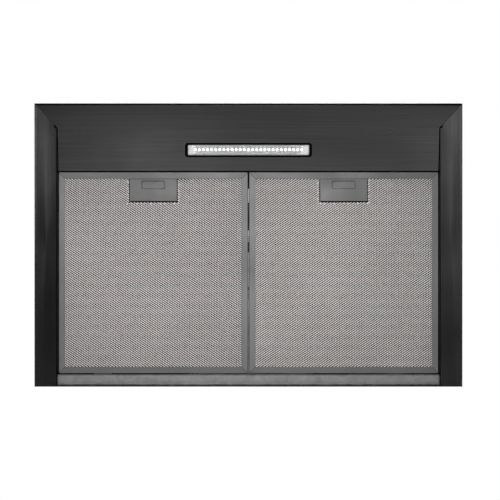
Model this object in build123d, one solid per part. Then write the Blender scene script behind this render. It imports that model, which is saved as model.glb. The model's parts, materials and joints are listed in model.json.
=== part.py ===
from build123d import *
import math
import os

# Under-cabinet range hood, millimetres. X runs along the wall, -Y is the front, +Z is up.
# The origin is the middle of the flat top that is screwed to the cabinet.

# Overall shell
hood_width = 759.0
hood_depth = 502.0
hood_height = 130.0
fascia_height = 62.0
top_depth = 346.0
sheet = 1.0
bend = 2.0
visor_bend = 3.0

half_width = hood_width / 2
front = -hood_depth / 2
back = hood_depth / 2
rim = -hood_height
top_front = back - top_depth
inner_half = half_width - sheet
under_top = -sheet

# Side rails, folded inwards and up from the rim of each end panel
rail_width = 40.0
rail_rise = 8.4
rail_flange_top = -100.0
rail_root = rim + 18.0
bay_half = half_width - rail_width
mitre_depth = 43.0

# Sloped panel behind the front edge, with the lamp in it
hem_depth = 2.0
hem_height = 12.0
panel_front = front + hem_depth + 0.2
panel_back = front + 120.0
panel_front_z = rim + 0.5
panel_back_z = -106.8
panel_flange_top = -88.0
panel_lip_top = -114.0
panel_gap = 0.5
panel_slope = math.atan((panel_back_z - panel_front_z) / (panel_back - panel_front))

# Rail along the wall that carries the back of the filters
rear_rail_front = 230.3
rear_rail_bottom = -109.3
rear_rail_top = -90.0
rear_rail_half = bay_half - 0.3
rear_screw_z = -99.0

# Lamp
lamp_y = front + 82.0
lamp_length = 226.0
lamp_width = 25.4
lamp_corner = 5.0
lamp_collar_length = 219.4
lamp_collar_width = 21.2
lens_length = 216.0
lens_width = 18.6
lens_wall = 1.4
board_width = 9.4
chip_count = 27
chip_pitch = 7.3

# Grease filters
filter_width = 337.5
filter_middle = 169.75
filter_front = -129.5
filter_back = 228.5
filter_bottom = -108.0
filter_top = -98.5
frame_lip = 11.5
frame_wall = 0.8
mesh_sheet = 0.5
tongue_places = (-90.0, 90.0)
tongue_half = 15.0
tongue_reach = 8.0
tongue_top = -100.0

# Filter latch
latch_front = filter_front + frame_lip
latch_back = latch_front + 39.5
latch_half = 42.0
latch_plate_top = filter_bottom + sheet
latch_cover_top = filter_top - frame_wall
window_front = latch_front + 3.4
window_back = window_front + 14.5
window_half = 21.0
paddle_half = 19.5
plate_gap = 0.5
pin_y = -99.0
pin_z = -104.9
pin_radius = 1.0
pin_half = 24.0
bolt_half = 10.0
bolt_bottom = -101.9
bolt_top = -100.6
bolt_nose = -130.5
bolt_tail = -92.0
spring_z = -103.0
spring_radius = 2.0
spring_wire = 0.35
spring_turns = 6

# Blower
wheel_y = 4.0
wheel_radius = 85.0
wheel_eye = 70.2
wheel_bottom = -86.0
wheel_top = -22.8
blade_count = 40
scroll_bottom = -88.0
scroll_radius = 95.0
scroll_growth = 10.0
scroll_back = 238.0
scroll_flange = 10.0
plate_eye = 68.0
ring_bottom = -90.2
motor_radius = 42.0
motor_bottom = -92.2
motor_top = -36.0
shaft_radius = 4.0
arm_reach = 74.0
capacitor_x = -150.0
capacitor_z = -20.2
capacitor_radius = 17.5
bracket_bottom = -94.2

# Duct collar for a round 178 mm duct
collar_y = 145.0
collar_radius = 88.0
collar_wall = 0.8
collar_top = 40.0
collar_flange = 99.0
collar_screw_radius = 94.0
gasket_top = 2.0
duct_hole = 86.0
damper_z = 14.0
damper_radius = 84.0
damper_sheet = 0.8
damper_rod = 2.0
knuckle = 3.2
knuckle_spans = ((-66.0, -46.0), (6.0, 26.0))

# Wiring
bushing_x = 240.0
bushing_y = 200.0
bushing_bore = 8.0
bushing_hole = 11.1
box_half_x = 55.0
box_half_y = 45.0
box_bottom = -46.0

# Controls, flush in the front edge
control_z = -98.0
control_proud = 0.6
button_names = ("off", "low", "medium", "high", "light")
button_pitch = 28.0
button_length = 22.0
button_height = 14.0

# Cabinet screws
screw_spacing_x = 600.0
screw_spacing_y = 160.0
screw_hole = 3.5

# Small pan-head screws
shank = 1.5
shank_hole = 1.55
head_radius = 3.2
head_height = 1.8


def save(node, shape):
    export_step(shape, f"parts/{node}.step")


def block(x0, x1, y0, y1, z0, z1):
    # A block between two corners
    low = (Align.MIN, Align.MIN, Align.MIN)
    return Pos(x0, y0, z0) * Box(x1 - x0, y1 - y0, z1 - z0, align=low)


def rod(start, direction, radius, length):
    # A round bar from a start point along a direction
    foot = (Align.CENTER, Align.CENTER, Align.MIN)
    return Plane(origin=start, z_dir=direction) * Cylinder(radius, length, align=foot)


def ring(start, direction, outer, inner, length):
    return rod(start, direction, outer, length) - rod(start, direction, inner, length)


def hole_up(x, y, radius, z0, z1):
    return rod((x, y, z0), (0, 0, 1), radius, z1 - z0)


def side_section(section, x0, x1):
    # Extrude a (y, z) section from x0 to x1
    return extrude(Plane.YZ.offset(x0) * section, amount=x1 - x0)


def front_section(section, y0, y1):
    # Extrude an (x, z) section from y0 to y1
    plane = Plane(origin=(0, y1, 0), x_dir=(1, 0, 0), z_dir=(0, -1, 0))
    return extrude(plane * section, amount=y1 - y0)


def plan_section(outline, z0, z1):
    # Extrude an (x, y) outline from z0 to z1
    return extrude(Plane.XY.offset(z0) * outline, amount=z1 - z0)


def inset(points, distance):
    # Move an open outline to its right by a distance, with its corners kept sharp
    places = [Vector(*point) for point in points]
    ways = [(b - a).normalized() for a, b in zip(places, places[1:])]
    rights = [Vector(way.Y, -way.X) for way in ways]
    moved = []
    for place, before, after in zip(places, [rights[0]] + rights, rights + [rights[-1]]):
        moved.append(place + (before + after) * (distance / (1 + before.dot(after))))
    return moved


def folded(*outer_face, radius=bend, thickness=sheet):
    # Section of a folded sheet; walking along the outer face, the metal is on the right
    middle = FilletPolyline(*inset(outer_face, thickness / 2), radius=radius)
    return trace(middle, line_width=thickness)


def pan_screw(seat, direction, length):
    # A pan-head screw whose head sits on seat and whose shank runs along direction
    way = Vector(*direction)
    crown = Vector(*seat) - way * head_height
    head = rod(crown, direction, head_radius, head_height)
    rims = head.edges().filter_by(GeomType.CIRCLE).sort_by_distance(crown)
    head = fillet(rims[0], head_height * 0.45)
    head -= Plane(origin=crown, z_dir=direction) * Box(3.2, 0.7, 1.2)
    head -= Plane(origin=crown, z_dir=direction) * Box(0.7, 3.2, 1.2)
    return head + rod(seat, direction, shank, length)


def mirrored(shape):
    return mirror(shape, about=Plane.YZ)


def mitre_y(x):
    # Front end of a side rail at a given distance from the middle
    return front + (half_width - x) * mitre_depth / rail_width


# Places shared by a screw and the holes it goes through

def collar_screw_places():
    reach = collar_screw_radius * math.sin(math.radians(45))
    return [(x, collar_y + y) for x in (-reach, reach) for y in (-reach, reach)]


def plate_screw_places():
    return [(x, y) for x in (-100.0, 110.0) for y in (60.0, 230.0)]


def arm_angles():
    return (90.0, 210.0, 330.0)


def motor_screw_places():
    places = []
    for angle in arm_angles():
        way = math.radians(angle)
        places.append((arm_reach * math.cos(way), wheel_y + arm_reach * math.sin(way)))
    return places


def rear_screw_places():
    return (-300.0, -150.0, 0.0, 150.0, 300.0)


def cover_screw_places():
    return [(bushing_x - 49.0, bushing_y), (bushing_x + 49.0, bushing_y)]


# Shell

def canopy_wrapper():
    section = folded(
        (front, rim + 1.0),
        (front, rim + fascia_height),
        (top_front, 0),
        (back - sheet, 0),
        radius=visor_bend,
    )
    wrapper = side_section(section, -inner_half, inner_half)
    wrapper += block(-inner_half, inner_half, front, front + hem_depth, rim + 1.0, rim + hem_height)
    wrapper += rod((-inner_half, front + 1.0, rim + 1.0), (1, 0, 0), 1.0, 2 * inner_half)
    wrapper -= hole_up(0, collar_y, duct_hole, -4, 4)
    wrapper -= hole_up(bushing_x, bushing_y, bushing_hole, -4, 4)
    for x in (-screw_spacing_x / 2, screw_spacing_x / 2):
        for y in (-screw_spacing_y / 2, screw_spacing_y / 2):
            wrapper -= hole_up(x, y, screw_hole, -4, 4)
    for x, y in collar_screw_places():
        wrapper -= hole_up(x, y, shank_hole, -4, 4)
    return wrapper - block(-72, 72, front - 2, front + 4, control_z - 11, control_z + 11)


def right_end_panel():
    outline = FilletPolyline(
        (front, rail_root),
        (front, rim + fascia_height),
        (top_front, 0),
        (back, 0),
        (back, rail_root),
        radius=[0, visor_bend + sheet / 2, visor_bend + sheet / 2, 0, 0],
        close=True,
    )
    panel = side_section(make_face(outline), inner_half, half_width)
    rail = folded(
        (half_width, rail_root),
        (half_width, rim),
        (bay_half, rim + rail_rise),
        (bay_half, rail_flange_top),
    )
    rail = front_section(rail, front, back)
    inside = bay_half - 10
    rail -= plan_section(
        make_face(Polyline(
            (inner_half, front - 1),
            (inner_half, mitre_y(inner_half)),
            (inside, mitre_y(inside)),
            (inside, front - 1),
            close=True,
        )),
        rim - 1,
        rail_root - 0.5,
    )
    rail -= block(inside, bay_half + 5, front, mitre_y(bay_half), rim, 0)
    rail -= block(inside, inner_half, front - 1, panel_front, rim - 1, rail_root - 0.5)
    rail -= block(inside, inner_half, back - sheet, back + 1, rim - 1, 0)
    top_flange = block(inner_half - 12, inner_half, top_front + 8, back - sheet, 2 * under_top, under_top)
    return panel + rail + top_flange


def back_panel():
    panel = block(-inner_half, inner_half, back - sheet, back, rim, 0)
    groove = 0.8
    score = back - 0.4
    knock_half = 127.0
    knock_top = -7.0
    knock_bottom = -90.0
    panel -= (
        block(-knock_half, knock_half, score, back + 1, knock_bottom, knock_top)
        - block(-knock_half + groove, knock_half - groove, score, back + 1, knock_bottom + groove, knock_top - groove)
    )
    panel -= ring((bushing_x, score, -30), (0, 1, 0), bushing_hole, bushing_hole - groove, 2)
    for x in rear_screw_places():
        panel -= rod((x, back - 2, rear_screw_z), (0, 1, 0), shank_hole, 4)
    return panel


def light_panel():
    section = folded(
        (panel_back, panel_flange_top),
        (panel_back, panel_back_z),
        (panel_front, panel_front_z),
        (panel_front, panel_lip_top),
        radius=1.2,
    )
    panel = side_section(section, -inner_half, inner_half)
    wide = half_width - (panel_front - front) * rail_width / mitre_depth - panel_gap
    narrow = bay_half - panel_gap
    outline = Polyline(
        (-wide, panel_front),
        (wide, panel_front),
        (narrow, mitre_y(bay_half)),
        (narrow, panel_back),
        (-narrow, panel_back),
        (-narrow, mitre_y(bay_half)),
        close=True,
    )
    panel &= plan_section(make_face(outline), rim - 1, 0)
    return panel - lamp_slab(lamp_collar_length + 0.6, lamp_collar_width + 0.4, 1.5, -5, 5)


def rear_filter_rail():
    section = folded(
        (back - sheet, rear_rail_top),
        (back - sheet, rear_rail_bottom),
        (rear_rail_front, rear_rail_bottom),
        radius=1.2,
    )
    rail = side_section(section, -rear_rail_half, rear_rail_half)
    bead_y = rear_rail_front + 0.9
    rail += rod((-rear_rail_half, bead_y, rear_rail_bottom + 0.1), (1, 0, 0), 0.9, 2 * rear_rail_half)
    for x in rear_screw_places():
        rail -= rod((x, back - 3, rear_screw_z), (0, 1, 0), shank_hole, 4)
    return rail


# Lamp, drawn in the plane of the sloped panel; its depth is counted up into the hood

def lamp_plane():
    height = panel_front_z + (lamp_y - panel_front) * math.tan(panel_slope)
    up = (0, -math.sin(panel_slope), math.cos(panel_slope))
    return Plane(origin=(0, lamp_y, height), x_dir=(1, 0, 0), z_dir=up)


def lamp_slab(length, width, corner, z0, z1):
    outline = lamp_plane().offset(z0) * RectangleRounded(length, width, corner)
    return extrude(outline, amount=z1 - z0)


def led_bezel():
    body = lamp_slab(lamp_length, lamp_width, lamp_corner, -1.0, 0.0)
    body += lamp_slab(lamp_collar_length, lamp_collar_width, 1.5, 0.0, 3.0)
    return body - lamp_slab(lens_length, lens_width, 1.5, -2.0, 4.0)


def led_lens():
    body = lamp_slab(lens_length - 0.4, lens_width - 0.4, 1.3, -0.4, 3.0)
    inner_length = lens_length - 0.4 - 2 * lens_wall
    inner_width = lens_width - 0.4 - 2 * lens_wall
    return body - lamp_slab(inner_length, inner_width, 0.5, -0.4 + lens_wall, 4.0)


def led_tray():
    body = lamp_slab(lamp_collar_length, lamp_collar_width, 1.5, 3.0, 8.2)
    return body - lamp_slab(lens_length - 3, lens_width - 3, 1.0, 2.0, 7.2)


def led_board():
    return lamp_slab(lens_length - 4, board_width, 0.5, 6.2, 7.2)


def led_chips():
    first = -(chip_count - 1) / 2 * chip_pitch
    chips = [Pos(first + i * chip_pitch, 0, 5.8) * Box(3.5, 2.8, 0.8) for i in range(chip_count)]
    return lamp_plane() * Compound(children=chips)


def led_driver():
    return fillet(block(-330, -220, -60, -28, -26, under_top).edges().filter_by(Axis.Z), 3)


# Grease filter, drawn about its own middle line and then moved left or right

def filter_frame():
    half = filter_width / 2
    middle = (filter_front + filter_back) / 2
    depth = filter_back - filter_front
    frame = plan_section(Pos(0, middle) * RectangleRounded(filter_width, depth, 1.5), filter_bottom, filter_top)
    frame -= block(
        -half + frame_lip, half - frame_lip, filter_front + frame_lip, filter_back - frame_lip, filter_bottom - 1, 0
    )
    frame -= block(
        -half + frame_wall,
        half - frame_wall,
        filter_front + frame_wall,
        filter_back - frame_wall,
        filter_bottom + frame_wall,
        filter_top - frame_wall,
    )
    seam = Box(0.3, frame_lip * 1.42, 0.5)
    for x, y in ((-1, -1), (-1, 1), (1, -1), (1, 1)):
        place = Pos(x * (half - frame_lip / 2), middle + y * (depth - frame_lip) / 2, filter_bottom)
        frame -= place * Rot(0, 0, -45 * x * y) * seam
    frame -= block(-10.6, 10.6, filter_front - 1, filter_front + 2, bolt_bottom - 0.4, bolt_top + 0.4)
    for x in tongue_places:
        frame += hooked_tongue(x)
    return frame


def hooked_tongue(x):
    # Reaches over the rear rail and stands on it with its turned-down end
    left = x - tongue_half
    right = x + tongue_half
    end = filter_back + tongue_reach
    tongue = block(left, right, filter_back - frame_wall, end, tongue_top - 1, tongue_top)
    return tongue + block(left, right, end - 1, end, rear_rail_bottom + 1.7, tongue_top)


def filter_mesh():
    half = filter_width / 2 - frame_wall - 0.2
    near = filter_front + frame_wall + 0.2
    far = filter_back - frame_wall - 0.2
    low = filter_bottom + frame_wall
    high = filter_top - frame_wall
    latch_room = block(-latch_half - 0.3, latch_half + 0.3, near - 1, latch_back + 0.3, low - 1, high + 1)
    lower = block(-half, half, near, far, low, low + mesh_sheet) - latch_room
    upper = block(-half, half, near, far, high - mesh_sheet, high) - latch_room
    return lower + upper


def latch_plate():
    outline = FilletPolyline(
        (-latch_half, latch_front + plate_gap),
        (latch_half, latch_front + plate_gap),
        (latch_half, latch_back),
        (-latch_half, latch_back),
        radius=[0, 0, 4, 4],
        close=True,
    )
    window = FilletPolyline(
        (-window_half, window_front),
        (window_half, window_front),
        (window_half, window_back),
        (-window_half, window_back),
        radius=[3, 3, 0, 0],
        close=True,
    )
    return plan_section(make_face(outline) - make_face(window), filter_bottom, latch_plate_top)


def latch_housing():
    cover_bottom = latch_cover_top - sheet
    cover = block(-latch_half, latch_half, latch_front, latch_back, cover_bottom, latch_cover_top)
    cover += block(-latch_half, latch_half, latch_back - sheet, latch_back, latch_plate_top, cover_bottom)
    for side in (-1, 1):
        wall = sorted((side * (latch_half - sheet), side * latch_half))
        cover += block(*wall, latch_front, latch_back, latch_plate_top, cover_bottom)
        ear = sorted((side * 21.6, side * pin_half))
        cover += block(*ear, pin_y - 2.5, pin_y + 2.5, latch_plate_top, cover_bottom)
        rib = sorted((side * 10.5, side * 12.0))
        cover += block(*rib, latch_front + 1, pin_y - 5, bolt_bottom - 0.3, cover_bottom)
    return cover - rod((-pin_half - 1, pin_y, pin_z), (1, 0, 0), pin_radius + 0.02, 2 * pin_half + 2)


def latch_paddle():
    plate_front = window_front + 1.4
    plate_back = window_back - 0.5
    outline = FilletPolyline(
        (-paddle_half, plate_front),
        (paddle_half, plate_front),
        (paddle_half, plate_back),
        (-paddle_half, plate_back),
        radius=[2.4, 2.4, 0, 0],
        close=True,
    )
    paddle = plan_section(make_face(outline), filter_bottom, latch_plate_top)
    paddle += block(-18, 18, plate_back - 1, plate_back, latch_plate_top, pin_z)
    for start, length in ((-18, 6), (-4, 8), (12, 6)):
        paddle += rod((start, pin_y, pin_z), (1, 0, 0), 1.9, length)
    paddle += block(-2, 2, pin_y - 0.6, pin_y + 0.6, pin_z + 1.3, pin_z + 4.0)
    return paddle - rod((-19, pin_y, pin_z), (1, 0, 0), pin_radius + 0.06, 38)


def latch_pin():
    return rod((-pin_half, pin_y, pin_z), (1, 0, 0), pin_radius, 2 * pin_half)


def latch_bolt():
    bolt = block(-bolt_half, bolt_half, bolt_nose, bolt_tail, bolt_bottom, bolt_top)
    bolt -= block(-2.7, 2.7, pin_y - 1, pin_y + 1, bolt_bottom - 1, bolt_top + 1)
    nose = bolt.edges().filter_by(Axis.X).sort_by_distance((0, bolt_nose, bolt_bottom))
    bolt = chamfer(nose[0], 0.7)
    return bolt + block(-4, 4, bolt_tail - 1, bolt_tail, -105.4, bolt_bottom)


def latch_spring():
    start = bolt_tail + spring_wire + 0.05
    end = latch_back - sheet - spring_wire - 0.05
    coil = Helix((end - start) / spring_turns, end - start, spring_radius)
    wire = sweep(Plane(origin=coil @ 0, z_dir=coil % 0) * Circle(spring_wire), path=coil, is_frenet=True)
    return Plane(origin=(0, start, spring_z), z_dir=(0, 1, 0)) * wire


# Blower

def scroll_outline():
    tail = wheel_y + scroll_growth
    edge = Line((-scroll_radius, scroll_back), (-scroll_radius, wheel_y))
    edge += ThreePointArc(
        (-scroll_radius, wheel_y),
        (-scroll_radius * math.sqrt(0.5), wheel_y - scroll_radius * math.sqrt(0.5)),
        (0, wheel_y - scroll_radius),
    )
    wide = scroll_radius + scroll_growth
    edge += ThreePointArc(
        (0, tail - wide),
        (wide * math.sqrt(0.5), tail - wide * math.sqrt(0.5)),
        (wide, tail),
    )
    edge += Line((wide, tail), (wide, scroll_back))
    edge += Line((wide, scroll_back), (-scroll_radius, scroll_back))
    return make_face(edge)


def blower_scroll():
    outline = scroll_outline()
    scroll = plan_section(outline, scroll_bottom, under_top)
    scroll -= plan_section(offset(outline, amount=-sheet), scroll_bottom - 1, under_top - sheet)
    scroll += plan_section(offset(outline, amount=scroll_flange) - outline, scroll_bottom, scroll_bottom + sheet)
    tongue = Circle(scroll_radius - 3) - Circle(scroll_radius - 4)
    tongue &= make_face(Polyline((0, 0), (-150, 0), (-150, 150), (-55, 150), close=True))
    scroll += plan_section(Pos(0, wheel_y) * tongue, scroll_bottom, under_top)
    join = block(-scroll_radius, -scroll_radius + 4, wheel_y - 1, wheel_y + 1, scroll_bottom, under_top)
    scroll += join
    scroll -= hole_up(0, collar_y, duct_hole, -4, 4)
    for x, y in collar_screw_places():
        scroll -= hole_up(x, y, shank_hole, -4, 4)
    for x, y in plate_screw_places():
        scroll -= hole_up(x, y, shank_hole, -90, -80)
    return scroll


def blower_base_plate():
    outline = offset(scroll_outline(), amount=scroll_flange)
    plate = plan_section(outline, scroll_bottom - sheet, scroll_bottom)
    plate -= hole_up(0, wheel_y, plate_eye, -100, -80)
    for x, y in plate_screw_places() + motor_screw_places():
        plate -= hole_up(x, y, shank_hole, -100, -80)
    return plate


def inlet_ring():
    top = scroll_bottom - sheet
    lip = top + 4.0
    section = make_face(Polyline(
        (80, ring_bottom),
        (80, top),
        (67.5, top),
        (66.2, top + 1.5),
        (66.2, lip),
        (65.0, lip),
        (65.0, top),
        (63.6, ring_bottom),
        close=True,
    ))
    bellmouth = revolve(Plane.XZ * section, axis=Axis.Z)
    bellmouth = Pos(0, wheel_y, 0) * bellmouth
    for x, y in motor_screw_places():
        bellmouth -= hole_up(x, y, shank_hole, -100, -80)
    return bellmouth


def blower_wheel():
    blade = trace(ThreePointArc((70.9, 0), (78.4, 1.4), (84.2, 5.6)), line_width=0.8)
    blades = Sketch() + [Rot(0, 0, 360 / blade_count * i) * blade for i in range(blade_count)]
    wheel = plan_section(blades, wheel_bottom + 1, wheel_top - 0.6)
    wheel += ring((0, 0, wheel_bottom), (0, 0, 1), wheel_radius, wheel_eye, 1.5)
    wheel += rod((0, 0, wheel_top - 1.2), (0, 0, 1), wheel_radius, 1.2)
    wheel += rod((0, 0, motor_top + 2), (0, 0, 1), 11, wheel_top + 3 - motor_top - 2)
    wheel -= rod((0, 0, -60), (0, 0, 1), shaft_radius, 60)
    return Pos(0, wheel_y, 0) * wheel


def motor_shaft():
    return rod((0, wheel_y, -56), (0, 0, 1), shaft_radius, 38)


def motor_can():
    can = rod((0, wheel_y, motor_bottom), (0, 0, 1), motor_radius, motor_top - motor_bottom)
    can = fillet(can.edges().filter_by(GeomType.CIRCLE), 4)
    can -= rod((0, wheel_y, -58), (0, 0, 1), shaft_radius + 0.3, 30)
    for angle in range(0, 360, 30):
        slot = Pos(33, 0, motor_top) * Box(8, 3, 6)
        can -= Pos(0, wheel_y, 0) * Rot(0, 0, angle) * slot
    return can


def motor_bracket():
    plan = Circle(30)
    for angle in arm_angles():
        plan += Rot(0, 0, angle) * Pos(arm_reach / 2, 0) * Rectangle(arm_reach, 16)
        plan += Rot(0, 0, angle) * Pos(arm_reach, 0) * Circle(8)
    plan -= Circle(9)
    bracket = plan_section(Pos(0, wheel_y) * plan, bracket_bottom, motor_bottom)
    for x, y in motor_screw_places():
        bracket -= hole_up(x, y, shank_hole, -100, -90)
    return bracket


def motor_grommets():
    grommets = []
    for x, y in motor_screw_places():
        grommets.append(ring((x, y, motor_bottom), (0, 0, 1), 5, shank_hole, ring_bottom - motor_bottom))
    return Compound(children=grommets)


def capacitor():
    can = rod((capacitor_x, 60, capacitor_z), (0, 1, 0), capacitor_radius, 60)
    can = fillet(can.edges().filter_by(GeomType.CIRCLE), 2)
    for x in (-6, 6):
        can += block(capacitor_x + x - 3, capacitor_x + x + 3, 119, 127, capacitor_z - 0.4, capacitor_z + 0.4)
    return can


def capacitor_strap():
    inner = capacitor_radius + 0.2
    outer = inner + 1.0
    foot = under_top - 1.0
    strap = rod((capacitor_x, 83, capacitor_z), (0, 1, 0), outer, 14)
    strap += block(capacitor_x - outer, capacitor_x + outer, 83, 97, capacitor_z, under_top)
    strap -= rod((capacitor_x, 82, capacitor_z), (0, 1, 0), inner, 16)
    strap -= block(capacitor_x - inner, capacitor_x + inner, 82, 98, capacitor_z, 1)
    for x0, x1 in ((-32.0, -inner), (inner, 32.0)):
        strap += block(capacitor_x + x0, capacitor_x + x1, 83, 97, foot, under_top)
    return strap


# Duct collar and its two damper flaps

def duct_collar():
    centre = (0, collar_y, gasket_top)
    collar = ring(centre, (0, 0, 1), collar_flange, collar_radius - collar_wall, sheet)
    collar += ring(centre, (0, 0, 1), collar_radius, collar_radius - collar_wall, collar_top - gasket_top)
    collar -= rod((-collar_radius - 1, collar_y, damper_z), (1, 0, 0), damper_rod + 0.05, 2 * collar_radius + 2)
    for x, y in collar_screw_places():
        collar -= hole_up(x, y, shank_hole, 0, 6)
    return collar


def collar_gasket():
    gasket = ring((0, collar_y, 0), (0, 0, 1), collar_flange, collar_radius, gasket_top)
    for x, y in collar_screw_places():
        gasket -= hole_up(x, y, shank_hole, -1, 6)
    return gasket


def damper_rod_bar():
    return rod((-collar_radius + 0.1, collar_y, damper_z), (1, 0, 0), damper_rod, 2 * collar_radius - 0.2)


def damper_flap():
    # The front half disc; the rear one is the same piece turned half round
    half = damper_sheet / 2
    flap = rod((0, 0, -half), (0, 0, 1), damper_radius, damper_sheet)
    flap -= block(-100, 100, -3, 100, -5, 5)
    for x0, x1 in knuckle_spans:
        flap -= block(-x1 - 0.5, -x0 + 0.5, -knuckle - 0.7, 1, -5, 5)
        flap += block(x0, x1, -3.4, -2.4, -half, half)
        flap += rod((x0, 0, 0), (1, 0, 0), knuckle, x1 - x0)
    return flap - rod((-100, 0, 0), (1, 0, 0), damper_rod + 0.06, 200)


def put_damper(flap, turn):
    return Pos(0, collar_y, damper_z) * Rot(0, 0, turn) * flap


# Wiring

def wiring_box():
    x0 = bushing_x - box_half_x
    x1 = bushing_x + box_half_x
    y0 = bushing_y - box_half_y
    y1 = bushing_y + box_half_y
    box = block(x0, x1, y0, y1, box_bottom, under_top)
    box -= block(x0 + sheet, x1 - sheet, y0 + sheet, y1 - sheet, box_bottom - 1, under_top - sheet)
    box -= hole_up(bushing_x, bushing_y, bushing_hole, -4, 4)
    for x, y in cover_screw_places():
        side = math.copysign(1, x - bushing_x)
        tab = sorted((x - side * 5, bushing_x + side * box_half_x))
        box += block(*tab, y - 6, y + 6, box_bottom, box_bottom + sheet)
        box -= hole_up(x, y, shank_hole, box_bottom - 1, box_bottom + 3)
    return box


def wiring_cover():
    x0 = bushing_x - box_half_x - 1
    x1 = bushing_x + box_half_x + 1
    y0 = bushing_y - box_half_y - 1
    y1 = bushing_y + box_half_y + 1
    cover = block(x0, x1, y0, y1, box_bottom - sheet, box_bottom)
    for x, y in cover_screw_places():
        cover -= hole_up(x, y, shank_hole, box_bottom - 3, box_bottom + 3)
    return cover


def cable_bushing():
    low = -3.4
    body = ring((bushing_x, bushing_y, low), (0, 0, 1), bushing_hole - 0.2, bushing_bore, -low)
    body += ring((bushing_x, bushing_y, 0), (0, 0, 1), 14, bushing_bore, 1.8)
    return body + ring((bushing_x, bushing_y, low), (0, 0, 1), 12.4, bushing_bore, 1.2)


def cable(points, radii, radius):
    route = FilletPolyline(*points, radius=radii)
    return sweep(Plane(origin=route @ 0, z_dir=route % 0) * Circle(radius), path=route)


def motor_cable():
    side = bushing_x - box_half_x
    points = [
        (side, 190, -30),
        (150, 190, -30),
        (132, 146, -58),
        (128, 92, -84),
        (116, 42, -93),
        (86, 14, -93),
        (60, 6, -93),
        (42.2, 4, -86),
    ]
    return cable(points, [22, 28, 40, 32, 24, 10], 2.4)


def lamp_cable():
    points = [
        (-240, -60, -14),
        (-240, -88, -22),
        (-222, -118, -52),
        (-184, -146, -86),
        (-144, -164, -104),
        (-109.7, -169, -109),
    ]
    return cable(points, [24, 40, 40, 40], 2.0)


# Controls

def button_places():
    first = -(len(button_names) - 1) / 2 * button_pitch
    return [first + i * button_pitch for i in range(len(button_names))]


def control_bezel():
    face = front - control_proud
    bezel = block(-75, 75, face, front, control_z - 12.5, control_z + 12.5)
    bezel = fillet(bezel.edges().filter_by(Axis.Y), 3)
    bezel += block(-71.5, 71.5, front, front + 6, control_z - 10.7, control_z + 10.7)
    for x0, x1 in ((-71.5, -69.3), (69.3, 71.5)):
        bezel += block(x0, x1, front + 5, front + 27, control_z - 9, control_z + 9)
    for x in button_places():
        reach = button_length / 2 + 0.3
        rise = button_height / 2 + 0.3
        bezel -= block(x - reach, x + reach, face - 1, front + 8, control_z - rise, control_z + rise)
    return bezel


def button(x):
    face = front - control_proud
    reach = button_length / 2
    rise = button_height / 2
    body = block(x - reach, x + reach, face, front + 13, control_z - rise, control_z + rise)
    body = fillet(body.edges().filter_by(Axis.Y), 1.5)
    stop = reach + 1.5
    return body + block(x - stop, x + stop, front + 6.5, front + 8, control_z - rise, control_z + rise)


def switch_block():
    body = block(-69, 69, front + 17, front + 27, control_z - 9, control_z + 9)
    for x in button_places():
        for offset_z in (-4, 4):
            body += block(x - 3, x + 3, front + 27, front + 32, control_z + offset_z - 0.4, control_z + offset_z + 0.4)
    return body


# Screws, one node for each group

def screws(seats, direction, length):
    return Compound(children=[pan_screw(seat, direction, length) for seat in seats])


def rear_screws():
    seats = [(x, back - 2 * sheet, rear_screw_z) for x in rear_screw_places()]
    return screws(seats, (0, 1, 0), 2 * sheet)


def blower_screws():
    seats = [(x, y, scroll_bottom - sheet) for x, y in plate_screw_places()]
    return screws(seats, (0, 0, 1), 5)


def motor_screws():
    seats = [(x, y, bracket_bottom) for x, y in motor_screw_places()]
    return screws(seats, (0, 0, 1), 6.7)


def collar_screws():
    seats = [(x, y, gasket_top + sheet) for x, y in collar_screw_places()]
    return screws(seats, (0, 0, -1), 8)


def cover_screws():
    seats = [(x, y, box_bottom - sheet) for x, y in cover_screw_places()]
    return screws(seats, (0, 0, 1), 5)


def build():
    save("canopy_wrapper", canopy_wrapper())
    end_panel = right_end_panel()
    save("right_end_panel", end_panel)
    save("left_end_panel", mirrored(end_panel))
    save("back_panel", back_panel())
    save("light_panel", light_panel())
    save("rear_filter_rail", rear_filter_rail())

    save("led_bezel", led_bezel())
    save("led_lens", led_lens())
    save("led_tray", led_tray())
    save("led_board", led_board())
    save("led_chips", led_chips())
    save("led_driver", led_driver())

    filter_pieces = {
        "filter_frame": filter_frame(),
        "filter_mesh": filter_mesh(),
        "latch_plate": latch_plate(),
        "latch_housing": latch_housing(),
        "latch_paddle": latch_paddle(),
        "latch_pin": latch_pin(),
        "latch_bolt": latch_bolt(),
        "latch_spring": latch_spring(),
    }
    for side, x in (("left", -filter_middle), ("right", filter_middle)):
        for name, piece in filter_pieces.items():
            save(f"{name}_{side}", Pos(x, 0, 0) * piece)

    save("blower_scroll", blower_scroll())
    save("blower_base_plate", blower_base_plate())
    save("inlet_ring", inlet_ring())
    save("blower_wheel", blower_wheel())
    save("motor_shaft", motor_shaft())
    save("motor_can", motor_can())
    save("motor_bracket", motor_bracket())
    save("motor_grommets", motor_grommets())
    save("capacitor", capacitor())
    save("capacitor_strap", capacitor_strap())

    save("duct_collar", duct_collar())
    save("collar_gasket", collar_gasket())
    save("damper_rod", damper_rod_bar())
    flap = damper_flap()
    save("damper_flap_front", put_damper(flap, 0))
    save("damper_flap_rear", put_damper(flap, 180))

    save("wiring_box", wiring_box())
    save("wiring_cover", wiring_cover())
    save("cable_bushing", cable_bushing())
    save("motor_cable", motor_cable())
    save("lamp_cable", lamp_cable())

    save("control_bezel", control_bezel())
    save("switch_block", switch_block())
    for name, x in zip(button_names, button_places()):
        save(f"button_{name}", button(x))

    save("rear_screws", rear_screws())
    save("blower_screws", blower_screws())
    save("motor_screws", motor_screws())
    save("collar_screws", collar_screws())
    save("cover_screws", cover_screws())


build()
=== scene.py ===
import json
import math

import bmesh
import bpy
from mathutils import Matrix, Vector


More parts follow.
